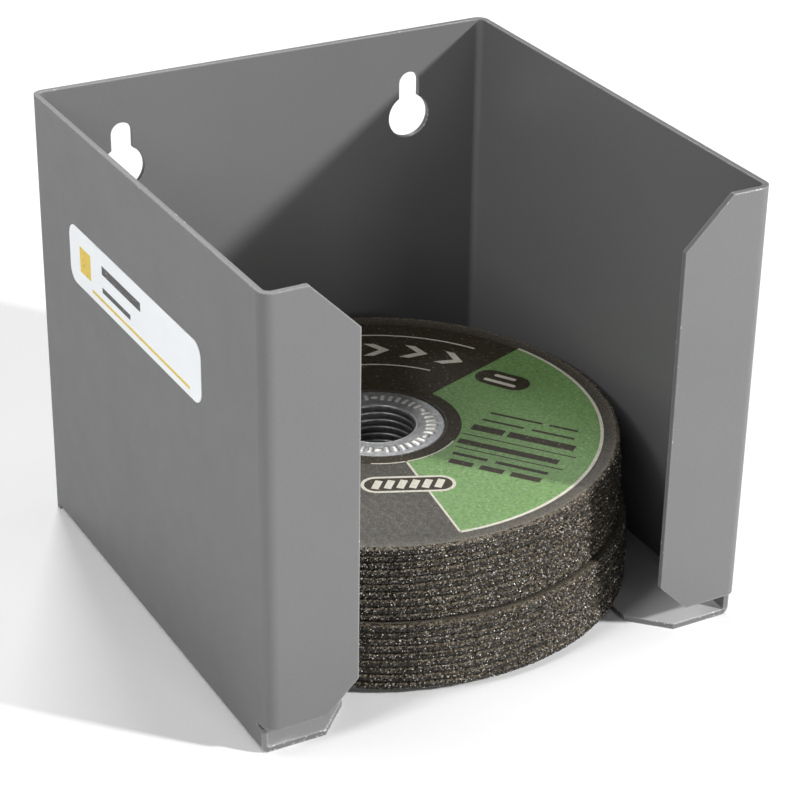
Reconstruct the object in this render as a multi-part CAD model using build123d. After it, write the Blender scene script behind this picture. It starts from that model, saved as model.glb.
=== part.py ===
from build123d import *
import os

# Cut-off wheel dispenser: one blank of sheet steel folded into an open box, loaded with thin wheels.
# The box hangs on two screws by its keyholes, or stands on its foot flanges.
# Wheels drop in at the open top, and the lowest one is drawn out forwards under the front flanges.
# The loaded stack leans a little to the left and back on its way up, with a step halfway.
# Frame: +Z is up, the back lies towards +Y, the front faces -Y, and the origin is at the middle
# of the underside. All sizes are in millimetres.

# Cut-off wheels
wheel_diameter = 101.6
wheel_bore = 15.88
wheel_thickness = 1.6
wheel_film = 0.05
wheel_count = 19
lower_group_count = 9
lowest_front_gap = 1.0
side_lean = 0.05
back_lean = 0.033
group_side_step = 0.65
group_back_step = 1.6

# Folded housing
sheet = 1.2
side_play = 2.2
depth_play = 4.0
housing_height = 96.0
bend_inner = 1.3

# Return flanges at the front
flange_width = 19.05
flange_top_chamfer = 10.0
flange_low_chamfer = 6.4
wheels_in_draw_gap = 3
draw_gap_play = 0.2
relief_length = 2.0
relief_height = 0.9

# Foot flanges turned in at the bottom
foot_width = 20.6
foot_chamfer = 7.2
foot_bend_inner = 0.5
foot_bend_clearance = 0.05
foot_back_relief = 1.0

# Keyholes in the back
keyhole_head_diameter = 9.8
keyhole_slot_width = 4.8
keyhole_inset = 19.05
keyhole_below_rim = 9.6
keyhole_drop = 7.8

# Sticker on the left side
sticker_length = 63.5
sticker_height = 12.7
sticker_thickness = 0.15
sticker_corner = 3.0
sticker_from_front = 57.7
sticker_below_rim = 27.3

# Sizes that follow from the ones above
wheel_radius = wheel_diameter / 2
wheel_pitch = wheel_thickness + wheel_film
inner_width = wheel_diameter + side_play
inner_depth = wheel_diameter + depth_play
width = inner_width + 2 * sheet
depth = inner_depth + 2 * sheet
front = -depth / 2
back = depth / 2
bend_outer = bend_inner + sheet
foot_bend_outer = foot_bend_inner + sheet
flange_bottom = sheet + wheels_in_draw_gap * wheel_pitch + draw_gap_play
flange_edge = width / 2 - flange_width
foot_edge = width / 2 - foot_width
foot_front = front + bend_outer
foot_back = back - bend_outer - foot_back_relief
lowest_x = side_play / 2 - foot_bend_inner - foot_bend_clearance
lowest_y = front + sheet + lowest_front_gap + wheel_radius
keyhole_x = width / 2 - keyhole_inset
keyhole_slot_z = housing_height - keyhole_below_rim - keyhole_slot_width / 2
keyhole_head_z = keyhole_slot_z - keyhole_drop

LOW = (Align.CENTER, Align.CENTER, Align.MIN)
SIDES = (-1, 1)


def block(x_range, y_range, z_range):
    """A plain box between two x, two y and two z values."""
    lows = [min(pair) for pair in (x_range, y_range, z_range)]
    spans = [abs(pair[1] - pair[0]) for pair in (x_range, y_range, z_range)]
    return Pos(*lows) * Box(*spans, align=(Align.MIN, Align.MIN, Align.MIN))


def upright_walls():
    """Back, sides and front flanges as one bent strip, open between the front flanges."""
    outline = RectangleRounded(width, depth, bend_outer)
    outline -= RectangleRounded(inner_width, inner_depth, bend_inner)
    outline -= Pos(0, front) * Rectangle(2 * flange_edge, 2 * bend_outer)
    return extrude(outline, housing_height)


def foot_channel():
    """Foot flanges with the bend and the strip of side wall that each one hangs from."""
    outline = RectangleRounded(width, 2 * flange_bottom, foot_bend_outer)
    outline -= Pos(0, sheet) * RectangleRounded(inner_width, 2 * flange_bottom, foot_bend_inner)
    outline -= Pos(0, flange_bottom / 2) * Rectangle(width, flange_bottom)
    outline -= Rectangle(2 * foot_edge, 2 * flange_bottom)
    section = Plane.XZ.offset(-foot_front) * Pos(0, flange_bottom) * outline
    return extrude(section, foot_front - foot_back)


def foot_room():
    """Room cut out of the upright walls for the foot bends and for the draw gap."""
    across = (-width, width)
    under_sides = block(across, (front, foot_back), (0, foot_bend_outer))
    draw_gap = block(across, (front, foot_front), (0, flange_bottom))
    slit_bottom = flange_bottom - relief_height
    slit = block(across, (foot_front, foot_front + relief_length), (slit_bottom, flange_bottom))
    return under_sides, draw_gap, slit


def corner_cut(plane, x_edge, height, size, up):
    """A 45 degree cut across one corner of a flange."""
    corner = Polyline((x_edge, height), (x_edge + size, height), (x_edge, height + up * size), close=True)
    return extrude(plane * make_face(corner), amount=bend_outer, both=True)


def flange_corner_cuts():
    """Cuts across the inner corners of the front flanges and of the foot flanges."""
    front_plane = Plane.XZ.offset(-front)
    cuts = []
    for side in SIDES:
        edge = corner_cut(front_plane, flange_edge, housing_height, flange_top_chamfer, -1)
        low = corner_cut(front_plane, flange_edge, flange_bottom, flange_low_chamfer, 1)
        foot = corner_cut(Plane.XY, foot_edge, foot_front, foot_chamfer, 1)
        for cut in (edge, low, foot):
            cuts.append(cut if side > 0 else mirror(cut, Plane.YZ))
    return cuts


def keyhole():
    """A round hole for the screw's head with a slot above it for the screw's neck."""
    head = Circle(keyhole_head_diameter / 2)
    neck = Pos(0, keyhole_drop / 2) * Rectangle(keyhole_slot_width, keyhole_drop)
    neck_end = Pos(0, keyhole_drop) * Circle(keyhole_slot_width / 2)
    return extrude(Plane.XZ * (head + neck + neck_end), amount=2 * sheet, both=True)


def housing():
    """The folded housing: walls, front flanges and foot flanges of one blank."""
    under_sides, draw_gap, slit = foot_room()
    shell = upright_walls() - under_sides - draw_gap
    shell += foot_channel()
    shell -= slit
    shell -= flange_corner_cuts()
    shell -= [Pos(side * keyhole_x, back, keyhole_head_z) * keyhole() for side in SIDES]
    return shell.clean()


def side_sticker():
    """Thin sticker with rounded corners on the outer face of the left side."""
    outline = RectangleRounded(sticker_length, sticker_height, sticker_corner)
    sheet_of_vinyl = extrude(Plane.YZ * outline, -sticker_thickness)
    return Pos(-width / 2, front + sticker_from_front, housing_height - sticker_below_rim) * sheet_of_vinyl


def wheel_place(index):
    """Middle of the underside of a wheel, counted from 0 at the bottom of the leaning stack."""
    in_upper_group = index >= lower_group_count
    x = lowest_x - index * side_lean - in_upper_group * group_side_step
    y = lowest_y + index * back_lean + in_upper_group * group_back_step
    return Pos(x, y, sheet + index * wheel_pitch)


def wheel():
    """A flat cut-off wheel with its arbor ring pressed flush into the bore."""
    disc = Cylinder(wheel_radius, wheel_thickness, align=LOW)
    return disc - Cylinder(wheel_bore / 2, wheel_thickness, align=LOW)


def all_nodes():
    """Every piece by its node's name."""
    nodes = {"housing": housing(), "side_sticker": side_sticker()}
    for index in range(wheel_count):
        nodes[f"wheel_{index + 1:02d}"] = wheel_place(index) * wheel()
    return nodes


os.makedirs("parts", exist_ok=True)
for name, piece in all_nodes().items():
    export_step(piece, f"parts/{name}.step")
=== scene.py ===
"""Looks of a cut-off wheel dispenser: a folded steel box with a stack of thin wheels in it.

Lengths are in metres, or in millimetres times MM. The housing's form and the wheels' places and
thickness come from the frame.
"""
import logging
import math
import random
from collections.abc import Callable
from dataclasses import dataclass, field
from enum import Enum

import bmesh
import bpy
from mathutils import Matrix, Vector, noise


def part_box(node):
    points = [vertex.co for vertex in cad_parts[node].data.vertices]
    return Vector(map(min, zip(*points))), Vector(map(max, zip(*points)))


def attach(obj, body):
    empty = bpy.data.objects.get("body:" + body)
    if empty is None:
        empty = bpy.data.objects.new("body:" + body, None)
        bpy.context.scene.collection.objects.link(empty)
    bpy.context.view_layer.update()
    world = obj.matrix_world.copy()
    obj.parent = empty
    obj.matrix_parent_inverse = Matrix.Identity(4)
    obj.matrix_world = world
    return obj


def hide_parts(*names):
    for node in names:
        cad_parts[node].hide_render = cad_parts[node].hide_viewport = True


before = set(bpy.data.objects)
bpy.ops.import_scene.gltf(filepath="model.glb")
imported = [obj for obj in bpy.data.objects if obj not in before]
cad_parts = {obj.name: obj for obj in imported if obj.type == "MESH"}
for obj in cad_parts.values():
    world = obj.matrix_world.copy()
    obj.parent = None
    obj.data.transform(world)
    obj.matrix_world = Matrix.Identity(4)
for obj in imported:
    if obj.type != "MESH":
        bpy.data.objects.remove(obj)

log = logging.getLogger("dispenser")

MM = 0.001
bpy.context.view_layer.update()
SHARP_TURN = (0.98, 0.75)
FACES_UP = (0.3, 0.8)
Material = bpy.types.Material
Mesh = bpy.types.Mesh
Object = bpy.types.Object
Socket = bpy.types.NodeSocket
RGB = tuple[float, float, float]
Point = tuple[float, float, float]
Pair = tuple[float, float]
Outline = list[Pair]
Section = list[tuple[float, float, float, int]]


class Ink(Enum):
    """Inks of the prints, in the order of a print's material slots."""

    GREEN = 0
    CREAM = 1
    BLACK = 2
    RED = 3


class Light(Enum):
    """Soft boxes of the studio."""

    KEY = "key"
    FILL = "fill"
    LEFT = "left"
    LEFT_NEAR = "left near"
    RIGHT = "right"
    BACK = "back"


class Texture(Enum):
    """Textures that spots are cut from: lumps of noise, the middles of cells, or whole cells."""

    LUMPS = "Fac"
    MIDDLES = "Distance"
    CELLS = "Color"


@dataclass(frozen=True)
class Spots:
    """Spots of a colour in a finish, or of gloss.

    The limits are the texture's values where the spots begin and where they cover in full. With
    limits in `some`, only cells with a random value beyond them have a spot.
    """

    size: float
    limits: Pair
    colour: RGB = (1.0, 1.0, 1.0)
    share: float = 1.0
    detail: float = 2.0
    rough: float = 0.5
    texture: Texture = Texture.LUMPS
    some: Pair | None = None


@dataclass(frozen=True)
class Relief:
    """Fine relief of a finish: its lumps' size, its depth and how much of it shows."""

    size: float
    depth: float
    strength: float
    detail: float = 2.0
    rough: float = 0.5


class Graph:
    """A material's node tree, with short calls for the nodes that the finishes use."""

    def __init__(self, name: str) -> None:
        """Starts a material with a principled shader.

        Args:
            name: The material's name.
        """
        self.material = bpy.data.materials.new(name)
        self.material.use_nodes = True
        self.tree = self.material.node_tree
        self.shader = self.tree.nodes["Principled BSDF"]
        self.place = self.tree.nodes.new("ShaderNodeTexCoord").outputs["Object"]

    def add(self, kind: str, inputs: dict | None = None, **settings: object) -> bpy.types.Node:
        """Adds a node.

        Args:
            kind: The node's type without its ShaderNode prefix.
            inputs: Values or sockets by input name or number.
            settings: Properties of the node.

        Returns:
            The new node.
        """
        node = self.tree.nodes.new("ShaderNode" + kind)
        for key, value in settings.items():
            setattr(node, key, value)
        for key, value in (inputs or {}).items():
            self.feed(node.inputs[key], value)
        return node

    def feed(self, socket: Socket, value: object) -> None:
        """Links a socket to an input, or sets the input's value.

        Args:
            socket: The input.
            value: The socket or the value that it gets.
        """
        if isinstance(value, Socket):
            self.tree.links.new(value, socket)
        else:
            socket.default_value = value

    def noise(self, size: float, detail: float = 2.0, rough: float = 0.5) -> Socket:
        """Noise with lumps of about a size, and with octaves of finer noise of a relative strength."""
        inputs = {"Vector": self.place, "Scale": 1 / size, "Detail": detail, "Roughness": rough}
        return self.add("TexNoise", inputs).outputs["Fac"]

    def cells(self, size: float, output: str = "Distance") -> Socket:
        """One output of Voronoi cells of about a size."""
        return self.add("TexVoronoi", {"Vector": self.place, "Scale": 1 / size}).outputs[output]

    def ramp(self, value: Socket, stops: tuple[float, ...], colours: tuple[RGB, ...]) -> Socket:
        """Colours a value.

        Args:
            value: The socket to colour.
            stops: Places of the colours, from 0 to 1.
            colours: The colours.

        Returns:
            The colour socket.
        """
        node = self.add("ValToRGB", {"Fac": value})
        line = node.color_ramp.elements
        while len(line) < len(stops):
            line.new(0.5)
        for element, where, colour in zip(line, stops, colours):
            element.position = where
            element.color = (*colour, 1.0)
        return node.outputs["Color"]

    def step(self, value: Socket, low: float, high: float) -> Socket:
        """Maps a value so that low gives 0 and high gives 1, held at both ends."""
        inputs = {"Value": value, "From Min": low, "From Max": high}
        return self.add("MapRange", inputs, clamp=True).outputs["Result"]

    def mix(self, amount: object, below: object, above: object) -> Socket:
        """Mixes two colours.

        Args:
            amount: Share of the upper colour, as a number or a socket.
            below: The lower colour.
            above: The upper colour.

        Returns:
            The mixed colour socket.
        """
        node = self.add("Mix", data_type="RGBA")
        self.feed(node.inputs["Factor"], amount)
        for slot, colour in (("A", below), ("B", above)):
            wide = (*colour, 1.0) if isinstance(colour, tuple) else colour
            self.feed([s for s in node.inputs if s.name == slot and s.type == "RGBA"][0], wide)
        return [s for s in node.outputs if s.type == "RGBA"][0]

    def math(self, operation: str, first: object, second: object = 0.0) -> Socket:
        """Combines two values with a math node."""
        return self.add("Math", {0: first, 1: second}, operation=operation).outputs[0]

    def times(self, *values: object) -> Socket:
        """Multiplies values and sockets with each other.

        Args:
            values: Two or more of them.

        Returns:
            The product's socket.
        """
        product = values[0]
        for value in values[1:]:
            product = self.math("MULTIPLY", product, value)
        return product

    def mask(self, spots: Spots) -> Socket:
        """Masks spots.

        Args:
            spots: The spots.

        Returns:
            A socket that is 1 in them and 0 between them.
        """
        if spots.texture is Texture.LUMPS:
            return self.step(self.noise(spots.size, spots.detail, spots.rough), *spots.limits)
        mask = self.step(self.cells(spots.size, spots.texture.value), *spots.limits)
        if spots.some is None:
            return mask
        return self.times(mask, self.step(self.cells(spots.size, "Color"), *spots.some))

    def lay(self, tone: object, spots: Spots, *masks: object) -> Socket:
        """Lays spots over a colour, held back further by masks."""
        return self.mix(self.times(self.mask(spots), *masks, spots.share), tone, spots.colour)

    def bump(self, height: Socket, depth: float, strength: float) -> None:
        """Adds relief on top of the shader's own.

        Args:
            height: The height socket.
            depth: Height of the relief in metres.
            strength: How much of it shows.
        """
        node = self.add("Bump", {"Height": height, "Distance": depth, "Strength": strength})
        normal = self.shader.inputs["Normal"]
        if normal.is_linked:
            self.feed(node.inputs["Normal"], normal.links[0].from_socket)
        self.feed(normal, node.outputs["Normal"])

    def relief(self, form: Relief) -> None:
        """Adds a fine relief of noise."""
        self.bump(self.noise(form.size, form.detail, form.rough), form.depth, form.strength)

    def facets(self, size: float, tilt: float) -> None:
        """Tilts the surface another way in each cell, as the faces of broken grains do.

        Args:
            size: Size of a cell in metres.
            tilt: How far the cells lean, as the length that is added to the unit normal.
        """
        middle = (0.5, 0.5, 0.5)
        lean = self.add("VectorMath", {0: self.cells(size, "Color"), 1: middle}, operation="SUBTRACT")
        lean = self.add("VectorMath", {0: lean.outputs["Vector"], "Scale": 2 * tilt}, operation="SCALE")
        flat = self.add("NewGeometry").outputs["Normal"]
        tilted = self.add("VectorMath", {0: flat, 1: lean.outputs["Vector"]}, operation="ADD")
        unit = self.add("VectorMath", {0: tilted.outputs["Vector"]}, operation="NORMALIZE")
        self.feed(self.shader.inputs["Normal"], unit.outputs["Vector"])

    def edge(self, radius: float) -> Socket:
        """Masks the sharp edges.

        Args:
            radius: How far the mask reaches from an edge, in metres.

        Returns:
            A socket that is 1 on the edges and 0 on flat stretches.
        """
        rounded = self.add("Bevel", {"Radius": radius}, samples=4).outputs["Normal"]
        flat = self.add("NewGeometry").outputs["Normal"]
        turn = self.add("VectorMath", {0: rounded, 1: flat}, operation="DOT_PRODUCT").outputs["Value"]
        return self.step(turn, *SHARP_TURN)

    def axis(self, number: int) -> Socket:
        """Place along the object's own x, y or z axis, for 0, 1 or 2."""
        return self.add("SeparateXYZ", {"Vector": self.place}).outputs[number]

    def upward(self) -> Socket:
        """A mask of 1 where the surface looks up, and 0 where it is upright or looks down."""
        flat = self.add("NewGeometry").outputs["Normal"]
        return self.step(self.add("SeparateXYZ", {"Vector": flat}).outputs[2], *FACES_UP)

    def radius(self) -> Socket:
        """Distance from the object's own z axis."""
        flat = self.add("VectorMath", {0: self.place, 1: (1.0, 1.0, 0.0)}, operation="MULTIPLY").outputs[0]
        return self.add("VectorMath", {0: flat}, operation="LENGTH").outputs["Value"]

    def surface(self, **values: object) -> None:
        """Sets inputs of the shader.

        Args:
            values: Numbers, colours or sockets by input name, with underscores for spaces.
        """
        for key, value in values.items():
            name = key.replace("_", " ")
            wide = (*value, 1.0) if isinstance(value, tuple) and len(value) == 3 else value
            self.feed(self.shader.inputs[name], wide)


@dataclass(frozen=True)
class PowderCoat:
    """Grey powder coat: a faint orange peel, dust specks, thin paint on the sheared edges with a painted
    highlight on them, painted highlight beads on the low edges, and painted light on the tops of the feet.
    """

    grey: RGB = (0.127, 0.127, 0.128)
    pale: RGB = (0.151, 0.151, 0.152)
    cloud: float = 38 * MM
    grain: Spots = Spots(0.35 * MM, (0.35, 0.65), (0.19, 0.19, 0.19), 0.14, detail=1.0)
    dust: Spots = Spots(3.4 * MM, (0.075, 0.045), (0.34, 0.34, 0.335), 0.6,
                        texture=Texture.MIDDLES, some=(0.80, 0.84))
    # Lighter sheared edges: partly the thin coat there, partly a painted highlight.
    edge_grey_and_highlight: RGB = (0.40, 0.40, 0.40)
    edge_radius: float = 0.55 * MM
    edge_share: float = 0.80
    edge_gloss: float = 0.20
    edge_round: float = 0.50 * MM
    chips: Spots = Spots(1.3 * MM, (0.30, 0.22), (0.86, 0.86, 0.85), texture=Texture.MIDDLES)
    chipped: Spots = Spots(9 * MM, (0.50, 0.60))
    # Painted light: upward faces at the very bottom, the tops of the feet, are lifted to a pale grey.
    foot_painted_light: RGB = (0.56, 0.56, 0.56)
    foot_light_below: Pair = (1.9 * MM, 1.35 * MM)
    foot_light_share: float = 0.8
    # Painted highlights: bright beads along the low edges of the feet.
    edge_highlight_beads: Spots = Spots(0.9 * MM, (0.36, 0.26), (0.86, 0.86, 0.85), texture=Texture.MIDDLES, some=(0.34, 0.40))
    rough: Pair = (0.40, 0.52)
    gloss_patch: float = 6 * MM
    peel: Relief = Relief(0.9 * MM, 0.016 * MM, 0.6)
    wave: Relief = Relief(14 * MM, 0.03 * MM, 0.35, detail=1.0)

    def material(self) -> Material:
        """Builds the material.

        Returns:
            The finished material.
        """
        g = Graph("grey_powder_coat")
        edge = g.edge(self.edge_radius)
        tone = g.mix(g.noise(self.cloud, 3.0), self.grey, self.pale)
        tone = g.lay(g.lay(tone, self.grain), self.dust)
        # Sheared edges lightened: thin coat and painted highlight.
        tone = g.mix(g.times(edge, self.edge_share), tone, self.edge_grey_and_highlight)
        tone = g.lay(tone, self.chips, g.mask(self.chipped), edge)
        # Painted light on the low upward faces, the tops of the feet.
        low = g.step(g.axis(2), *self.foot_light_below)
        tone = g.mix(g.times(low, g.upward(), self.foot_light_share), tone, self.foot_painted_light)
        # Painted highlight beads on the low edges.
        g.surface(Base_Color=g.lay(tone, self.edge_highlight_beads, low, g.edge(2 * self.edge_radius)))
        least, most = self.rough
        rough = g.add("MapRange", {"Value": g.noise(self.gloss_patch, 3.0), "To Min": least, "To Max": most})
        smooth = g.times(edge, self.edge_gloss)
        g.surface(Roughness=g.math("SUBTRACT", rough.outputs["Result"], smooth), Specular_IOR_Level=0.42)
        rounded = g.add("Bevel", {"Radius": self.edge_round}, samples=6)
        g.surface(Normal=rounded.outputs["Normal"])
        g.relief(self.peel)
        g.relief(self.wave)
        return g.material


@dataclass(frozen=True)
class Vinyl:
    """White printed vinyl with a faint mottle and a soft gloss."""

    white: RGB = (0.88, 0.91, 0.93)
    shade: RGB = (0.80, 0.83, 0.85)
    mottle: float = 9 * MM
    rough: Spots = Spots(3 * MM, (-1.0, 3.0), detail=3.0)
    ripple: Relief = Relief(2.5 * MM, 0.01 * MM, 0.4)

    def material(self) -> Material:
        """Builds the material.

        Returns:
            The finished material.
        """
        g = Graph("white_vinyl")
        g.surface(Base_Color=g.mix(g.noise(self.mottle, 4.0), self.white, self.shade))
        g.surface(Roughness=g.mask(self.rough), Coat_Weight=0.2, Coat_Roughness=0.25)
        g.relief(self.ripple)
        return g.material


@dataclass(frozen=True)
class DiscFace:
    """Flat face of a wheel: resin and grain with the weave of the glass mesh showing through."""

    resin: RGB = (0.036, 0.031, 0.022)
    brown: RGB = (0.082, 0.070, 0.050)
    cloud: float = 11 * MM
    dust: RGB = (0.18, 0.16, 0.122)
    dust_from: Pair = (46.9 * MM, 49.6 * MM)
    dust_share: float = 0.42
    # Pale broken spots at the face's outer edge: partly grains, partly painted light on the ledge between the
    # wheel groups.
    broken: Spots = Spots(0.7 * MM, (0.40, 0.56), (0.34, 0.32, 0.27), 0.6, 3.0, 0.7)
    ledge_light_from: Pair = (48.9 * MM, 49.9 * MM)
    dots: Spots = Spots(0.42 * MM, (0.42, 0.20), (0.34, 0.32, 0.27), 0.50,
                        texture=Texture.MIDDLES, some=(0.50, 0.78))
    dot_depth: float = 0.05 * MM
    pits: Spots = Spots(0.55 * MM, (0.50, 0.38), (0.014, 0.013, 0.011), 0.65, 3.0, 0.7)
    rough: Spots = Spots(1.5 * MM, (-1.0, 1.9), detail=3.0)
    weave: float = 2.3 * MM
    weave_depth: float = 0.035 * MM
    grit: Relief = Relief(0.42 * MM, 0.07 * MM, 0.8, 3.0, 0.7)

    def material(self) -> Material:
        """Builds the material.

        Returns:
            The finished material.
        """
        g = Graph("abrasive_face")
        tone = g.mix(g.noise(self.cloud, 4.0), self.resin, self.brown)
        tone = g.mix(g.times(g.step(g.radius(), *self.dust_from), self.dust_share), tone, self.dust)
        # Painted light with grain spots on the outer edge.
        tone = g.lay(tone, self.broken, g.step(g.radius(), *self.ledge_light_from))
        tone = g.lay(g.lay(tone, self.dots), self.pits)
        g.surface(Base_Color=tone, Roughness=g.mask(self.rough), Specular_IOR_Level=0.5)
        g.bump(self.mesh_relief(g), self.weave_depth, 0.5)
        g.relief(self.grit)
        g.bump(g.step(g.cells(self.dots.size), *self.dots.limits), self.dot_depth, 0.5)
        return g.material

    def mesh_relief(self, g: Graph) -> Socket:
        """Height of the woven glass mesh under the resin, as waves that cross."""
        waves = [g.math("SINE", g.times(g.axis(i), 2 * math.pi / self.weave)) for i in (0, 1)]
        return g.math("MAXIMUM", *waves)


@dataclass(frozen=True)
class CutEdge:
    """Rough rim of a wheel: near-black glossy resin, coarse grains whose palest are partly painted glints, a
    painted highlight along the upper corner and painted shade low in the gap between wheels.
    """

    resin: RGB = (0.008, 0.006, 0.004)
    brown: RGB = (0.032, 0.021, 0.011)
    grey: RGB = (0.080, 0.064, 0.042)
    # The palest grain colour is partly grain, partly painted glints.
    pale: RGB = (0.42, 0.37, 0.28)
    stops: tuple[float, ...] = (0.0, 0.55, 0.66, 0.82, 0.93)
    grit: float = 0.30 * MM
    tilt: float = 0.62
    rough: Pair = (-0.85, 2.8)
    clouds: Spots = Spots(13 * MM, (0.44, 0.60), (0.008, 0.006, 0.004), 0.45)
    # Painted highlight: a pale broken line along each rim's upper corner, where it catches the light.
    upper_corner_highlight: Spots = Spots(0.7 * MM, (0.42, 0.56), (0.205, 0.173, 0.125), 0.85, 4.0, 0.8)
    upper_corner_band: Pair = (1.17 * MM, 1.34 * MM)
    # Painted shade: the lower part of the rim is darkened where the wheels meet.
    gap: RGB = (0.004, 0.004, 0.003)
    gap_shade_below: Pair = (0.66 * MM, 0.36 * MM)
    gap_shade_share: float = 0.95
    ragged: float = 0.62 * MM
    raggedness: float = 0.34 * MM
    tooth: Relief = Relief(0.2 * MM, 0.04 * MM, 0.6)

    def material(self) -> Material:
        """Builds the material.

        Returns:
            The finished material.
        """
        g = Graph("abrasive_edge")
        cells = g.cells(self.grit, "Color")
        tone = g.ramp(cells, self.stops, (self.resin, self.resin, self.brown, self.grey, self.pale))
        tone = g.lay(tone, self.clouds)
        height = self.ragged_height(g)
        # Painted highlight along the upper corner.
        tone = g.lay(tone, self.upper_corner_highlight, g.step(height, *self.upper_corner_band))
        # Painted shade low on the rim, between the wheels.
        tone = g.mix(g.times(g.step(height, *self.gap_shade_below), self.gap_shade_share), tone, self.gap)
        g.surface(Base_Color=tone, Roughness=g.step(cells, *self.rough), Specular_IOR_Level=0.5)
        g.facets(self.grit, self.tilt)
        g.relief(self.tooth)
        return g.material

    def ragged_height(self, g: Graph) -> Socket:
        """Height above the wheel's underside, made uneven so that no line on the rim runs straight."""
        uneven = g.times(g.math("SUBTRACT", g.noise(self.ragged, 3.0, 0.7), 0.5), self.raggedness)
        return g.math("ADD", g.axis(2), uneven)


@dataclass(frozen=True)
class GritGrains:
    """Broken abrasive grains: each one has a colour and a gloss of its own, and the brightest are partly painted
    glints.
    """

    black: RGB = (0.008, 0.006, 0.004)
    brown: RGB = (0.050, 0.032, 0.016)
    grey: RGB = (0.13, 0.105, 0.070)
    # The bright grain colour is partly grain, partly painted glints.
    bright: RGB = (0.80, 0.74, 0.62)
    stops: tuple[float, ...] = (0.0, 0.52, 0.64, 0.80, 0.90)
    rough: Pair = (1.55, -1.9)
    # Painted shade: grains low on the rim turn black where the wheels meet.
    gap_shade_below: Pair = (0.56 * MM, 0.36 * MM)
    tooth: Relief = Relief(0.12 * MM, 0.03 * MM, 0.5, detail=1.0)

    def material(self) -> Material:
        """Builds the material.

        Returns:
            The finished material.
        """
        g = Graph("abrasive_grains")
        pick = g.add("NewGeometry").outputs["Random Per Island"]
        tone = g.ramp(pick, self.stops, (self.black, self.black, self.brown, self.grey, self.bright))
        # Painted shade on the low grains.
        tone = g.mix(g.step(g.axis(2), *self.gap_shade_below), tone, self.black)
        g.surface(Base_Color=tone, Roughness=g.step(pick, *self.rough), Specular_IOR_Level=0.6)
        g.relief(self.tooth)
        return g.material


@dataclass(frozen=True)
class PrintedInk:
    """Ink on the wheel's rough face: the grain shows through it, and it is rubbed thin in places."""

    name: str
    colour: RGB
    shade: RGB
    rough: float = 0.55
    grain: float = 1.0
    gloss: float = 0.42
    mottle: Spots = Spots(0.75 * MM, (0.30, 0.70), detail=4.0, rough=0.7)
    low: Spots = Spots(0.42 * MM, (0.22, 0.05), (0.045, 0.042, 0.032), 0.42, texture=Texture.CELLS)
    high: Spots = Spots(0.36 * MM, (0.84, 0.97), (0.72, 0.71, 0.58), 0.34, texture=Texture.CELLS)
    bare: Spots = Spots(0.9 * MM, (0.66, 0.73), (0.07, 0.065, 0.05), 0.5, 5.0, 0.7)
    tooth: Relief = Relief(0.42 * MM, 0.06 * MM, 0.8, 3.0, 0.7)

    def material(self) -> Material:
        """Builds the material.

        Returns:
            The finished material.
        """
        g = Graph(self.name)
        tone = g.mix(g.mask(self.mottle), self.colour, self.shade)
        for spots in (self.low, self.high, self.bare):
            tone = g.lay(tone, spots, self.grain)
        g.surface(Base_Color=tone, Roughness=self.rough, Specular_IOR_Level=self.gloss)
        g.relief(self.tooth)
        return g.material


@dataclass(frozen=True)
class PressedSteel:
    """Bright pressed steel: polished spots, a painted highlight on the raised marks, dull grey flats and fine
    scuffs.
    """

    dull: RGB = (0.37, 0.375, 0.385)
    # Polished spots; their bright colour also serves as the painted highlight of the raised marks.
    polish_and_highlight: Spots = Spots(1.3 * MM, (0.44, 0.60), (0.94, 0.93, 0.88), 0.22, detail=4.0)
    highlight_from: Pair = (1.40 * MM, 1.47 * MM)
    high_rough: float = 0.08
    scuffs: Spots = Spots(0.8 * MM, (-0.70, 2.1), detail=4.0)
    tooth: Relief = Relief(0.35 * MM, 0.02 * MM, 0.6, detail=3.0)

    def material(self) -> Material:
        """Builds the material.

        Returns:
            The finished material.
        """
        g = Graph("pressed_steel")
        # Painted highlight: the raised marks take the bright steel colour, standing in for the light they catch.
        high = g.step(g.axis(2), *self.highlight_from)
        bright = g.math("MAXIMUM", high, g.times(g.mask(self.polish_and_highlight), self.polish_and_highlight.share))
        g.surface(Base_Color=g.mix(bright, self.dull, self.polish_and_highlight.colour), Metallic=0.85)
        g.surface(Roughness=g.math("ADD", g.mask(self.scuffs), g.times(high, self.high_rough)))
        g.relief(self.tooth)
        return g.material


@dataclass(frozen=True)
class PaleFloor:
    """Plain pale studio floor."""

    pale: RGB = (0.93, 0.93, 0.93)

    def material(self) -> Material:
        """Builds the material.

        Returns:
            The finished material.
        """
        g = Graph("pale_floor")
        g.surface(Base_Color=self.pale, Roughness=0.9, Specular_IOR_Level=0.1)
        return g.material


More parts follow.
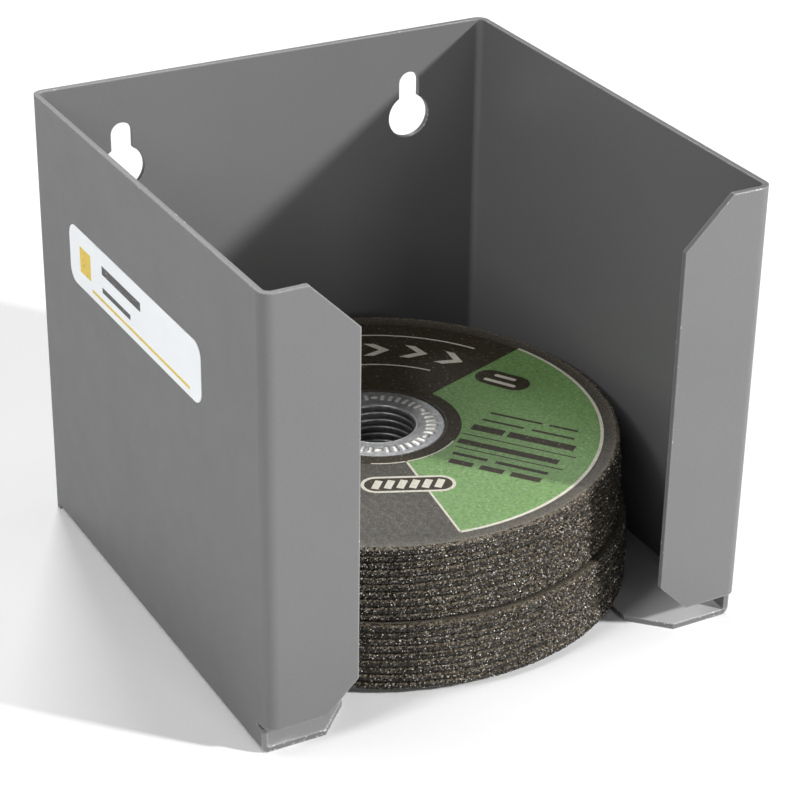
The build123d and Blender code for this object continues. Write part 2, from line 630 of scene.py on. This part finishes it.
class Shape:
    """A mesh under construction: vertices, faces and a material number for each face."""

    def __init__(self) -> None:
        """Starts with nothing."""
        self.vertices: list[Point] = []
        self.faces: list[tuple[int, ...]] = []
        self.slots: list[int] = []

    def add(self, vertices: list[Point], faces: list[tuple[int, ...]], slot: int = 0) -> None:
        """Adds vertices with the faces between them.

        Args:
            vertices: New vertices.
            faces: Faces that count from the first new vertex.
            slot: Material number of the faces.
        """
        start = len(self.vertices)
        self.vertices += vertices
        self.faces += [tuple(start + i for i in face) for face in faces]
        self.slots += [slot] * len(faces)

    def lathe(self, rows: list[list[Point]], slots: list[int]) -> None:
        """Adds a closed surface through rings of equal length.

        Args:
            rows: Rings of vertices, the last of which joins the first.
            slots: Material number of the band that follows each ring.
        """
        count, rings = len(rows[0]), len(rows)
        start = len(self.vertices)
        for row in rows:
            self.vertices += row
        for ring in range(rings):
            low, high = start + ring * count, start + (ring + 1) % rings * count
            for i in range(count):
                j = (i + 1) % count
                self.faces.append((low + i, low + j, high + j, high + i))
                self.slots.append(slots[ring])

    def mesh(self, name: str, materials: list[Material], smooth: bool) -> Mesh:
        """Makes the mesh.

        Args:
            name: The mesh's name.
            materials: Materials in slot order.
            smooth: Whether the faces are shaded smooth.

        Returns:
            The new mesh.
        """
        mesh = bpy.data.meshes.new(name)
        mesh.from_pydata(self.vertices, [], self.faces)
        for material in materials:
            mesh.materials.append(material)
        mesh.polygons.foreach_set("material_index", self.slots)
        mesh.polygons.foreach_set("use_smooth", [smooth] * len(self.faces))
        mesh.update()
        return mesh


def polar(radius: float, angle: float) -> Pair:
    """Place at a radius and at an angle in radians."""
    return (radius * math.cos(angle), radius * math.sin(angle))


def put(name: str, data: bpy.types.ID) -> Object:
    """Puts a new object in the scene.

    Args:
        name: The object's name.
        data: Its mesh, light or camera.

    Returns:
        The new object.
    """
    thing = bpy.data.objects.new(name, data)
    bpy.context.scene.collection.objects.link(thing)
    return thing


def place_piece(name: str, mesh: Mesh, body: str, at: Vector, turn: float = 0.0) -> Object:
    """Puts a mesh in the scene as a piece of the object.

    Args:
        name: The piece's name.
        mesh: Its mesh.
        body: The body that it rides on.
        at: Where the mesh's origin goes.
        turn: Turn about the vertical axis in radians.

    Returns:
        The new object.
    """
    piece = put(name, mesh)
    piece.matrix_world = Matrix.Translation(at) @ Matrix.Rotation(turn, 4, "Z")
    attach(piece, body)
    return piece


def centre_of(node: str) -> tuple[Vector, Vector]:
    """Middle of a node's box at rest, and the box's three sides."""
    low, high = (Vector(corner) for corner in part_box(node))
    return (low + high) / 2, high - low


@dataclass
class Housing:
    """The folded sheet-steel box, with rounded corners on its flanges and painted, rounded edges."""

    node: str = "housing"
    sheet: float = 1.2 * MM
    corner: float = 1.3 * MM
    corner_steps: int = 5
    corner_play: float = 0.02 * MM
    corner_angle: float = 20.0
    edge_round: float = 0.26 * MM
    edge_steps: int = 3
    edge_angle: float = 40.0
    weld: float = 0.001 * MM
    flat_within: float = 0.5
    finish: PowderCoat = field(default_factory=PowderCoat)

    def build(self) -> Object:
        """Makes the shell from the solid's own form and coats it.

        Returns:
            The shell's object.
        """
        mesh = self.cornered()
        mesh.materials.clear()
        mesh.materials.append(self.finish.material())
        shell = place_piece("housing_shell", mesh, self.node, Vector())
        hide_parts(self.node)
        edges = shell.modifiers.new("painted edges", "BEVEL")
        edges.width = self.edge_round
        edges.segments = self.edge_steps
        edges.limit_method = "ANGLE"
        edges.angle_limit = math.radians(self.edge_angle)
        return shell

    def cornered(self) -> Mesh:
        """Copies the solid's form, joins its flats and rounds the corners of its sheared edges.

        Returns:
            The new mesh.
        """
        form = bmesh.new()
        form.from_mesh(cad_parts[self.node].data)
        bmesh.ops.remove_doubles(form, verts=form.verts, dist=self.weld)
        flat = math.radians(self.flat_within)
        bmesh.ops.dissolve_limit(form, angle_limit=flat, verts=form.verts, edges=form.edges)
        corners = [edge for edge in form.edges if self.is_corner(edge)]
        log.info("%d sheared corners rounded", len(corners))
        bmesh.ops.bevel(form, geom=corners, offset=self.corner, segments=self.corner_steps, profile=0.5,
                        affect="EDGES", offset_type="OFFSET", clamp_overlap=True)
        mesh = bpy.data.meshes.new("housing_shell")
        form.to_mesh(mesh)
        form.free()
        return mesh

    def is_corner(self, edge: bmesh.types.BMEdge) -> bool:
        """Whether an edge runs through the sheet where two sheared edges meet."""
        fits = abs(edge.calc_length() - self.sheet) < self.corner_play and len(edge.link_faces) == 2
        return fits and edge.calc_face_angle_signed(0.0) > math.radians(self.corner_angle)


@dataclass
class Sticker:
    """White sticker on the left side, with a plain print of bars on it."""

    node: str = "side_sticker"
    margin: float = 2.6 * MM
    corner: float = 3.0 * MM
    corner_steps: int = 8
    round_off: float = 0.04 * MM
    sink: float = 0.02 * MM
    rough: float = 0.4
    vinyl: Vinyl = field(default_factory=Vinyl)

    def build(self) -> Object:
        """Makes the sticker and prints it.

        Returns:
            The sticker's object.
        """
        middle, size = centre_of(self.node)
        inner = middle + Vector((size.x / 2, 0, 0))
        yellow = PrintedInk("yellow_ink", (0.78, 0.56, 0.05), (0.70, 0.49, 0.04), self.rough)
        black = PrintedInk("sticker_black_ink", (0.03, 0.03, 0.032), (0.05, 0.05, 0.05), self.rough)
        inks = [ink.material() for ink in (yellow, black)]
        sheet = place_piece("sticker_sheet", self.sheet(size), "housing", inner)
        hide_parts(self.node)
        mesh = self.print_bars(size.y, size.z).mesh("sticker_print", inks, False)
        face = inner - Vector((size.x - self.sink / 2, 0, 0))
        place_piece("sticker_print", mesh, "housing", face)
        return sheet

    def sheet(self, size: Vector) -> Mesh:
        """Makes the vinyl with its rounded corners and its soft outer edge.

        Args:
            size: The sticker's thickness, length and height.

        Returns:
            The new mesh.
        """
        depth, soft = size.x - self.sink, self.round_off
        levels = [(0.0, 0.0), (-depth + soft, 0.0), (-depth + 0.3 * soft, 0.3), (-depth, 1.0)]
        rows = [[(x, y, z) for y, z in self.outline(size, inset * soft)] for x, inset in levels]
        count, last = len(rows[0]), len(rows) - 1
        faces = [tuple(range(count)), tuple(last * count + i for i in reversed(range(count)))]
        for level in range(last):
            low, high = level * count, (level + 1) * count
            for i in range(count):
                j = (i + 1) % count
                faces.append((low + i, high + i, high + j, low + j))
        shape = Shape()
        shape.add([point for row in rows for point in row], faces)
        return shape.mesh("sticker_sheet", [self.vinyl.material()], False)

    def outline(self, size: Vector, inset: float) -> Outline:
        """Draws the sticker's outline.

        Args:
            size: The sticker's thickness, length and height.
            inset: How far the outline is drawn in.

        Returns:
            Places along and up from the sticker's middle.
        """
        points = []
        for corner, (side, rise) in enumerate(((1, 1), (-1, 1), (-1, -1), (1, -1))):
            y, z = side * (size.y / 2 - self.corner), rise * (size.z / 2 - self.corner)
            for i in range(self.corner_steps + 1):
                along, up = polar(self.corner - inset, math.pi / 2 * (corner + i / self.corner_steps))
                points.append((y + along, z + up))
        return points

    def print_bars(self, length: float, height: float) -> Shape:
        """Prints the sticker: a yellow square, two black bars and a thin yellow line.

        Args:
            length: The sticker's length.
            height: The sticker's height.

        Returns:
            The print, with one face for each bar.
        """
        block = height * 0.44
        left = length / 2 - self.margin - block
        shape = Shape()
        self.bar(shape, 0, (left, 0.0), (block, block))
        for up, share, tall in ((0.17, 0.30, 0.15), (-0.17, 0.22, 0.09)):
            along = left - block * 1.55 - share * length / 2
            self.bar(shape, 1, (along, up * height), (share * length, tall * height))
        self.bar(shape, 0, (-length * 0.05, -height * 0.36), (length * 0.74, height * 0.05))
        return shape

    def bar(self, shape: Shape, slot: int, middle: Pair, size: Pair) -> None:
        """Adds one upright bar to the print, facing out of the left side."""
        (y0, z0), (y1, z1) = (tuple(m + end * d for m, d in zip(middle, size)) for end in (-0.5, 0.5))
        shape.add([(0, y0, z0), (0, y0, z1), (0, y1, z1), (0, y1, z0)], [(0, 1, 2, 3)], slot)


@dataclass
class Grains:
    """Loose-looking grains that stand out of a wheel's rim."""

    count: int = 3800
    smallest: float = 0.16 * MM
    largest: float = 0.44 * MM
    rarity: float = 1.7
    spread: float = 0.33
    middle: float = 0.55
    depth: Pair = (-0.05, 0.12)
    corner: float = 0.70 * MM
    limit: float = 50.78 * MM
    broken: Pair = (0.6, 1.15)

    def scatter(self, shape: Shape, rim: Callable[[float], float], thickness: float, dice: random.Random) -> None:
        """Sets broken grains all over the rim.

        Args:
            shape: The mesh that they are added to.
            rim: Gives the rim's radius at an angle.
            thickness: The wheel's thickness.
            dice: Source of the scatter.
        """
        for _ in range(self.count):
            size = self.smallest + (self.largest - self.smallest) * dice.random() ** self.rarity
            angle = dice.uniform(0, 2 * math.pi)
            height = thickness * (self.middle + self.spread * (dice.random() + dice.random() - 1.0))
            inset = self.corner_inset(height, thickness) + dice.uniform(*self.depth) * MM
            middle = Vector((*polar(rim(angle) - inset, angle), height))
            self.grain(shape, middle, size / 2, thickness, dice)

    def corner_inset(self, height: float, thickness: float) -> float:
        """How far the worn rim is drawn in at a height."""
        off = abs(height - thickness / 2) / (thickness / 2)
        return self.corner * off ** 3

    def grain(self, shape: Shape, middle: Vector, half: float, thickness: float, dice: random.Random) -> None:
        """Adds one grain as a broken octahedron.

        Args:
            shape: The mesh that it is added to.
            middle: Its middle.
            half: Half its size.
            thickness: The wheel's thickness.
            dice: Source of its shape.
        """
        corners = [Vector(v) for v in ((1, 0, 0), (-1, 0, 0), (0, 1, 0), (0, -1, 0), (0, 0, 1), (0, 0, -1))]
        turn = dice.uniform(0, math.pi)
        spin = Matrix.Rotation(turn, 3, Vector((dice.random(), dice.random(), dice.random() + 0.1)))
        points = []
        for corner in corners:
            point = middle + spin @ corner * half * dice.uniform(*self.broken)
            draw = min(1.0, self.limit / math.hypot(point.x, point.y))
            points.append((point.x * draw, point.y * draw, min(max(point.z, 0.0), thickness)))
        faces = [(0, 2, 4), (2, 1, 4), (1, 3, 4), (3, 0, 4), (2, 0, 5), (1, 2, 5), (3, 1, 5), (0, 3, 5)]
        shape.add(points, faces, 2)


@dataclass
class Disc:
    """The abrasive disc of a wheel.

    Each kind of roughness gives how many lumps it has on a millimetre and how far it pushes.
    """

    radius: float
    thickness: float
    hole: float = 8.6 * MM
    seat: float = 14.3 * MM
    seat_depth: float = 0.46 * MM
    seat_slope: float = 0.05 * MM
    skin: float = 0.01 * MM
    rim: float = 50.42 * MM
    rim_steps: int = 11
    rim_height: float = 0.96
    rim_start: float = 0.55
    turns: int = 1080
    coarse: Pair = (2.1, 0.22 * MM)
    broad: Pair = (0.35, 0.08 * MM)
    rise: Pair = (1.7, 0.14 * MM)
    corner: float = 0.70 * MM
    wander: float = 0.16 * MM
    grains: Grains = field(default_factory=Grains)

    def profile(self) -> Section:
        """Section of the disc, from the hole's lower edge round the rim to its upper edge.

        Returns:
            Radius and height of each ring, its share of the roughness and the next band's material number.
        """
        low, top, half_way = self.skin, self.thickness - self.skin, 0.6 * self.radius
        rows = [(self.hole, low, 0.0, 0), (half_way, low, 0.0, 0), (self.rim - 1.3 * MM, low, 0.0, 1)]
        for i in range(self.rim_steps + 1):
            swing = math.sin(math.pi * (i / self.rim_steps - 0.5))
            height = self.thickness / 2 * (1 + self.rim_height * swing)
            share = 1.0 if 0 < i < self.rim_steps else self.rim_start
            rows.append((self.rim - self.corner * abs(swing) ** 3, height, share, 1))
        rows += [(self.rim - 0.95 * MM, top, 0.10, 0), (self.rim - 1.8 * MM, top, 0.0, 0)]
        rows += [(half_way, top, 0.0, 0), (self.seat + self.seat_slope, top, 0.0, 0)]
        rows += [(radius, top - self.seat_depth, 0.0, 0) for radius in (self.seat, self.hole)]
        return rows

    def mesh(self, variant: int, materials: list[Material]) -> Mesh:
        """Makes one rough disc.

        Args:
            variant: Number that picks the roughness.
            materials: Materials of the faces, the rim and the grains.

        Returns:
            The new mesh.
        """
        angles = [2 * math.pi * i / self.turns for i in range(self.turns)]
        profile = self.profile()
        shape = Shape()
        shape.lathe([[self.rough_point(*ring[:3], angle, variant) for angle in angles] for ring in profile],
                    [slot for *_, slot in profile])
        dice = random.Random(101 + variant)
        self.grains.scatter(shape, lambda angle: self.rim + self.drift(angle, variant), self.thickness, dice)
        return shape.mesh(f"disc_{variant}", materials, False)

    def drift(self, angle: float, variant: int) -> float:
        """How far the rim lies out of its usual radius at an angle, as no two wheels are alike."""
        return self.wander * (math.sin(2 * angle + 1.9 * variant) - 0.55 * (variant % 3))

    def rough_point(self, radius: float, height: float, share: float, angle: float, variant: int) -> Point:
        """A point on the disc, pushed in or out by the roughness.

        Args:
            radius: Its radius without the roughness.
            height: Its height without the roughness.
            share: How much of the roughness it gets.
            angle: Its place round the wheel.
            variant: Number that picks the roughness.

        Returns:
            The point.
        """
        x, y = polar(radius, angle)
        if share == 0.0:
            return (x, y, height)
        seed = Vector((x, y, height * 1.6 + variant * 0.31)) / MM
        push = self.drift(angle, variant)
        push += sum(noise.noise(seed * lumps) * depth for lumps, depth in (self.coarse, self.broad))
        rise = noise.noise(seed * self.rise[0] + Vector((9.0, 4.0, 2.0))) * self.rise[1]
        grown = min(1 + share * push / radius, self.grains.limit / radius)
        return (x * grown, y * grown, min(max(height + share * rise, 0.0), self.thickness))


@dataclass
class ArborRing:
    """Pressed steel ring in a wheel's bore: a rolled lip, a flat flange and raised bars round it."""

    bore: float
    thickness: float
    flange: float = 14.2 * MM
    sink: float = 0.22 * MM
    sheet: float = 0.26 * MM
    foot: float = 0.02 * MM
    lip: float = 0.45 * MM
    lip_rise: float = 0.06 * MM
    lip_steps: int = 7
    flat_steps: int = 24
    mark_rise: float = 0.17 * MM
    mark_half: float = 1.25 * MM
    mark_width: float = 1.05 * MM
    stud: float = 0.95 * MM
    stud_rise: float = 0.20 * MM
    turns: int = 540
    marks: int = 42
    group: int = 7

    def section(self) -> Outline:
        """Section of the ring, from the foot of the bore up over the lip and out to the flange's edge.

        Returns:
            Radius and height of each ring of the surface.
        """
        bore, lip, top = self.bore, self.lip, self.thickness - self.sink
        rows = [(bore + 0.26 * MM, self.foot), (bore + 0.08 * MM, 0.06 * MM), (bore, 0.2 * MM)]
        for i in range(self.lip_steps + 1):
            angle = math.pi / 2 * i / self.lip_steps
            height = top + self.lip_rise - lip * (1 - math.sin(angle))
            rows.append((bore + lip * (1 - math.cos(angle)), height))
        rows.append((bore + lip + 0.25 * MM, top))
        start = bore + lip + 0.4 * MM
        span = self.flange - 0.2 * MM - start
        rows += [(start + span * i / self.flat_steps, top) for i in range(self.flat_steps + 1)]
        rows += [(self.flange - 0.06 * MM, top - 0.03 * MM), (self.flange, top - 0.10 * MM)]
        inside = bore + 0.7 * MM
        return rows + [(self.flange, top - self.sheet), (inside, top - self.sheet), (inside, self.foot)]

    def relief(self, radius: float, angle: float) -> float:
        """Height of the raised bars and of the round studs between them.

        Args:
            radius: Distance of the place from the ring's axis.
            angle: Its place round the ring.

        Returns:
            The height over the flange.
        """
        across = abs(radius - self.middle())
        turn = angle / (2 * math.pi) * self.marks
        along = (turn % 1.0 - 0.5) * 2 * math.pi * radius / self.marks
        if int(turn) % self.group == 0:
            return self.stud_rise * max(0.0, 1 - (math.hypot(along, 1.5 * across) / self.stud) ** 2)
        crown = 1 - (2 * along / self.mark_width) ** 2
        fade = min(1.0, 3 * (1 - across / self.mark_half))
        return self.mark_rise * max(0.0, crown) * max(0.0, fade)

    def middle(self) -> float:
        """Radius of the row of marks."""
        return (self.flange + self.bore + self.lip) / 2 + 0.1 * MM

    def mesh(self, material: Material) -> Mesh:
        """Makes the ring.

        Args:
            material: The steel.

        Returns:
            The new mesh.
        """
        rings = []
        angles = [2 * math.pi * i / self.turns for i in range(self.turns)]
        inner, outer = self.bore + self.lip + 0.5 * MM, self.flange - 0.3 * MM
        for radius, height in self.section():
            flat = height > self.thickness - self.sink - 0.001 * MM and inner < radius < outer
            lifts = [self.relief(radius, angle) if flat else 0.0 for angle in angles]
            rings.append([(*polar(radius, angle), height + lift) for angle, lift in zip(angles, lifts)])
        shape = Shape()
        shape.lathe(rings, [0] * len(rings))
        return shape.mesh("arbor_ring", [material], True)


@dataclass
class WheelPrint:
    """Plain print on a wheel's face: a green field with pale borders, bars, a badge, a tag and arrows.

    Angles are in degrees. Each row of bars gives how far up it lies, its height, and its bars' shares
    of the row's length. Each arc gives its ink, its radii and its angles. Rows and arcs are in
    millimetres.
    """

    height: float
    inner: float = 17.6 * MM
    outer: float = 46.25 * MM
    start: float = -98.0
    end: float = 20.0
    dark_end: float = 214.0
    ring_edge: float = 14.7 * MM
    border: float = 0.68 * MM
    layer: float = 0.006 * MM
    arc_step: float = 1.5
    row_turn: float = -52.0
    row_middle: Pair = (0.0205, -0.0225)
    row_length: float = 25.0 * MM
    row_plan: tuple[tuple[float, float, tuple[float, ...]], ...] = (
        (11.6, 0.8, (0.55, 0.3)), (8.2, 0.8, (0.42, 0.42)), (4.4, 2.4, (0.30, 0.62)), (0.9, 0.4, (1.0,)),
        (-2.3, 2.0, (0.9,)), (-4.9, 0.4, (1.0,)), (-7.6, 1.1, (0.34, 0.5)), (-10.8, 1.8, (0.24, 0.24, 0.3)))
    badge_place: Pair = (33.0 * MM, 4.6 * MM)
    badge_turn: float = -58.0
    tag_place: Pair = (-6.5 * MM, -25.5 * MM)
    tag_turn: float = -24.0
    arrows: int = 9
    arrow_first: float = 33.0
    arrow_pitch: float = 14.5
    arrow_ring: float = 33.5 * MM
    arrow_size: float = 2.9 * MM
    arcs: tuple[tuple[Ink, Pair, Pair], ...] = (
        (Ink.CREAM, (40.4, 40.9), (30.0, 176.0)), (Ink.CREAM, (26.2, 26.7), (36.0, 158.0)),
        (Ink.RED, (20.2, 21.6), (72.0, 102.0)), (Ink.CREAM, (29.0, 30.6), (-172.0, -136.0)),
        (Ink.CREAM, (32.0, 33.6), (-172.0, -141.0)), (Ink.CREAM, (35.0, 36.6), (-172.0, -146.0)))
    shape: Shape = field(default_factory=Shape)

    def arc_band(self, ink: Ink, radii: Pair, angles: Pair, layer: int) -> None:
        """Adds a stretch of a ring.

        Args:
            ink: Its ink.
            radii: Inner and outer radius.
            angles: First and last angle.
            layer: How many layers of ink lie under it, counting its own.
        """
        steps = max(2, int(abs(angles[1] - angles[0]) / self.arc_step))
        lift = self.height + layer * self.layer
        points = []
        for i in range(steps + 1):
            turn = math.radians(angles[0] + (angles[1] - angles[0]) * i / steps)
            points += [(*polar(radius, turn), lift) for radius in radii]
        faces = [(2 * i, 2 * i + 1, 2 * i + 3, 2 * i + 2) for i in range(steps)]
        self.shape.add(points, faces, ink.value)

    def patch(self, ink: Ink, outline: Outline, middle: Pair, turn: float, layer: int) -> None:
        """Adds one flat patch.

        Args:
            ink: Its ink.
            outline: Its corners, counter-clockwise, about its own middle.
            middle: Where its middle goes on the wheel.
            turn: Its turn.
            layer: How many layers of ink lie under it, counting its own.
        """
        c, s = polar(1.0, math.radians(turn))
        lift = self.height + layer * self.layer
        points = [(middle[0] + c * x - s * y, middle[1] + s * x + c * y, lift) for x, y in outline]
        self.shape.add(points, [tuple(range(len(points)))], ink.value)

    def bar(self, length: float, height: float) -> Outline:
        """Outline of a bar about its middle."""
        x, y = length / 2, height / 2
        return [(-x, -y), (x, -y), (x, y), (-x, y)]

    def lozenge(self, length: float, height: float) -> Outline:
        """Outline of a bar with round ends about its middle.

        Args:
            length: Its length over both ends.
            height: Its height.

        Returns:
            Its corners, counter-clockwise.
        """
        end, reach, steps = height / 2, (length - height) / 2, 12
        round_end = [polar(end, math.pi * (i / steps - 0.5)) for i in range(steps + 1)]
        right = [(reach + x, y) for x, y in round_end]
        return right + [(-x, -y) for x, y in right]

    def chevron(self, size: float) -> Outline:
        """Outline of an arrow head that points along its own x."""
        notch = 0.2 * size
        return [(-size, -size), (-notch, -size), (size, 0.0), (-notch, size), (-size, size), (notch, 0.0)]

    def field_and_borders(self) -> None:
        """Prints the green field with its pale borders, and the dark part of the face."""
        limits = (self.start, self.end)
        corner = (self.start - 24.0, self.start + 44.0)
        self.arc_band(Ink.BLACK, (self.ring_edge, self.inner), (0.0, 360.0), 1)
        self.arc_band(Ink.BLACK, (self.inner, self.outer), (self.end, self.dark_end), 1)
        self.arc_band(Ink.GREEN, (self.inner, self.outer), limits, 1)
        self.arc_band(Ink.CREAM, (self.outer, self.outer + self.border), limits, 2)
        self.arc_band(Ink.CREAM, (self.inner - 0.5 * self.border, self.inner), corner, 2)
        at = polar((self.inner + self.outer) / 2, math.radians(self.start))
        line = self.bar(self.outer - self.inner + self.border, 0.7 * self.border)
        self.patch(Ink.CREAM, line, at, self.start, 2)

    def rows(self) -> None:
        """Prints rows of dark bars across the green field."""
        along = Vector(polar(1.0, math.radians(self.row_turn)))
        up = Vector((-along.y, along.x))
        for rise, height, shares in self.row_plan:
            full = self.row_length - abs(rise) * 0.35 * MM
            spot = -full / 2
            gap = full * (1 - sum(shares)) / len(shares)
            for share in shares:
                length = share * full
                at = Vector(self.row_middle) + along * (spot + length / 2) + up * rise * MM
                self.patch(Ink.BLACK, self.bar(length, height * MM), (at.x, at.y), self.row_turn, 2)
                spot += length + gap

    def badge(self) -> None:
        """Prints a dark badge with two pale bars at the upper end of the green field."""
        x, y = self.badge_place
        c, s = polar(1.0, math.radians(self.badge_turn))
        self.patch(Ink.BLACK, self.lozenge(12.5 * MM, 6.6 * MM), self.badge_place, self.badge_turn, 2)
        for rise, length in ((1.35, 5.2), (-1.35, 7.6)):
            spot = (x - s * rise * MM, y + c * rise * MM)
            self.patch(Ink.CREAM, self.lozenge(length * MM, 1.1 * MM), spot, self.badge_turn, 3)

    def tag(self) -> None:
        """Prints a pale tag with a dark hatch across the green field's lower border."""
        x, y = self.tag_place
        c, s = polar(1.0, math.radians(self.tag_turn))
        self.patch(Ink.CREAM, self.lozenge(19.0 * MM, 6.4 * MM), self.tag_place, self.tag_turn, 3)
        self.patch(Ink.BLACK, self.lozenge(17.6 * MM, 5.0 * MM), self.tag_place, self.tag_turn, 4)
        for i in range(6):
            along = (i - 2.5) * 2.5 * MM
            spot = (x + c * along, y + s * along)
            self.patch(Ink.CREAM, self.bar(1.5 * MM, 3.4 * MM), spot, self.tag_turn - 20.0, 5)

    def arrows_and_arcs(self) -> None:
        """Prints arrow heads round the dark part of the face for the way it turns, and thin arcs."""
        for i in range(self.arrows):
            angle = self.arrow_first + self.arrow_pitch * i
            at = polar(self.arrow_ring, math.radians(angle))
            self.patch(Ink.CREAM, self.chevron(self.arrow_size), at, angle - 90.0, 2)
        for ink, radii, angles in self.arcs:
            self.arc_band(ink, (radii[0] * MM, radii[1] * MM), angles, 2)

    def mesh(self, inks: list[Material]) -> Mesh:
        """Makes the print.

        Args:
            inks: The inks' materials in the order of Ink.

        Returns:
            The new mesh.
        """
        self.field_and_borders()
        self.rows()
        self.badge()
        self.tag()
        self.arrows_and_arcs()
        return self.shape.mesh("wheel_print", inks, False)


@dataclass
class WheelStack:
    """All the wheels: each one is a rough disc with a steel ring and a print."""

    bore: float = 7.94 * MM
    variants: int = 5

    def nodes(self) -> list[str]:
        """Names of the wheels' nodes, from the bottom up."""
        return sorted(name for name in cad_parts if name.startswith("wheel_"))

    def inks(self) -> list[Material]:
        """Builds the inks of the prints.

        Returns:
            Their materials in the order of Ink.
        """
        black = {"rough": 0.60, "grain": 0.75, "gloss": 0.27}
        inks = (PrintedInk("green_ink", (0.225, 0.405, 0.136), (0.112, 0.218, 0.066)),
                PrintedInk("cream_ink", (0.74, 0.71, 0.61), (0.56, 0.53, 0.44), grain=0.6),
                PrintedInk("black_ink", (0.018, 0.014, 0.008), (0.060, 0.046, 0.026), **black),
                PrintedInk("red_ink", (0.50, 0.085, 0.035), (0.36, 0.060, 0.030)))
        return [ink.material() for ink in inks]

    def build(self) -> int:
        """Builds every wheel on its body.

        Returns:
            The number of wheels.
        """
        names = self.nodes()
        size = centre_of(names[0])[1]
        materials = [DiscFace().material(), CutEdge().material(), GritGrains().material()]
        disc = Disc(size.x / 2, size.z)
        discs = [disc.mesh(variant, materials) for variant in range(self.variants)]
        ring = ArborRing(self.bore, size.z).mesh(PressedSteel().material())
        printed = WheelPrint(size.z).mesh(self.inks())
        for number, name in enumerate(names):
            middle = centre_of(name)[0]
            foot = Vector((middle.x, middle.y, middle.z - size.z / 2))
            turn = (len(names) - 1 - number) * math.pi / 2
            body = place_piece(name + "_disc", discs[number % self.variants], name, foot, turn)
            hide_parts(name)
            place_piece(name + "_ring", ring, name, foot, turn)
            place_piece(name + "_print", printed, name, foot, turn)
        return len(names)


@dataclass
class SoftBox:
    """A soft area light, hung by its direction from the object."""

    kind: Light
    azimuth: float
    elevation: float
    watts: float
    distance: float = 1.2
    size: float = 0.35
    aim: Point = (0.0, 0.0, 0.05)

    def build(self) -> Object:
        """Hangs the light and aims it at the object.

        Returns:
            The light's object.
        """
        lamp = bpy.data.lights.new(self.kind.value, "AREA")
        lamp.shape = "SQUARE"
        lamp.size = self.size
        lamp.energy = self.watts
        light = put(self.kind.value, lamp)
        side, up = math.radians(self.azimuth), math.radians(self.elevation)
        way = Vector((math.sin(side) * math.cos(up), -math.cos(side) * math.cos(up), math.sin(up)))
        light.location = Vector(self.aim) + way * self.distance
        light.rotation_euler = (-way).to_track_quat("-Z", "Y").to_euler()
        return light


@dataclass
class Studio:
    """Pale floor, soft light and the camera of the photograph."""

    eye: Point = (-0.21217, -0.38911, 0.27200)
    yaw: float = 29.03
    pitch: float = -27.82
    roll: float = 0.94
    lens: float = 109.62
    sensor: float = 36.0
    clip: float = 0.01
    floor_half: float = 3.0
    sky: float = 0.11

    def build(self) -> None:
        """Sets up the floor, the lights and the camera."""
        bpy.context.scene.view_settings.view_transform = "Standard"
        self.floor()
        self.world()
        for box in self.boxes():
            box.build()
        self.camera()

    def floor(self) -> None:
        """Lays the floor."""
        half = self.floor_half
        shape = Shape()
        corners = [(-half, -half, 0.0), (half, -half, 0.0), (half, half, 0.0), (-half, half, 0.0)]
        shape.add(corners, [(0, 1, 2, 3)])
        put("floor", shape.mesh("floor", [PaleFloor().material()], False))

    def world(self) -> None:
        """Lights everything softly from a white sky."""
        world = bpy.data.worlds.new("studio")
        bpy.context.scene.world = world
        world.use_nodes = True
        background = world.node_tree.nodes["Background"]
        background.inputs["Color"].default_value = (1.0, 1.0, 1.0, 1.0)
        background.inputs["Strength"].default_value = self.sky

    def boxes(self) -> list[SoftBox]:
        """Lists the lights: a key from the front right, and fills from the front, both sides and behind.

        Returns:
            The soft boxes.
        """
        return [
            SoftBox(Light.KEY, 41, 25, 16.0, size=0.07),
            SoftBox(Light.FILL, 6, 15, 1.7, size=0.20),
            SoftBox(Light.LEFT, -75, 35, 6.2, size=0.30),
            SoftBox(Light.LEFT_NEAR, -80, 60, 0.15, distance=0.28, size=0.10),
            SoftBox(Light.RIGHT, 90, 40, 1.4),
            SoftBox(Light.BACK, 165, 44, 7.5, size=0.30),
        ]

    def camera(self) -> None:
        """Sets the camera where the photograph was taken from."""
        yaw, pitch, roll = (math.radians(a) for a in (self.yaw, self.pitch, self.roll))
        ahead = Vector((math.sin(yaw) * math.cos(pitch), math.cos(yaw) * math.cos(pitch), math.sin(pitch)))
        right = Vector((math.cos(yaw), -math.sin(yaw), 0.0))
        up = right.cross(ahead)
        turned = right * math.cos(roll) + up * math.sin(roll)
        risen = up * math.cos(roll) - right * math.sin(roll)
        lens = bpy.data.cameras.new("photo_camera")
        lens.lens = self.lens
        lens.sensor_width = self.sensor
        lens.clip_start = self.clip
        camera = put("photo_camera", lens)
        axes = Matrix((turned, risen, -ahead)).transposed()
        camera.matrix_world = Matrix.Translation(self.eye) @ axes.to_4x4()
        bpy.context.scene.camera = camera


def main() -> None:
    """Builds the studio and every piece in order."""
    logging.basicConfig(level=logging.INFO, format="%(name)s: %(message)s")
    Studio().build()
    log.info("studio ready")
    Housing().build()
    log.info("housing coated")
    Sticker().build()
    log.info("sticker printed")
    log.info("%d wheels built", WheelStack().build())


if __name__ == "__main__":
    main()
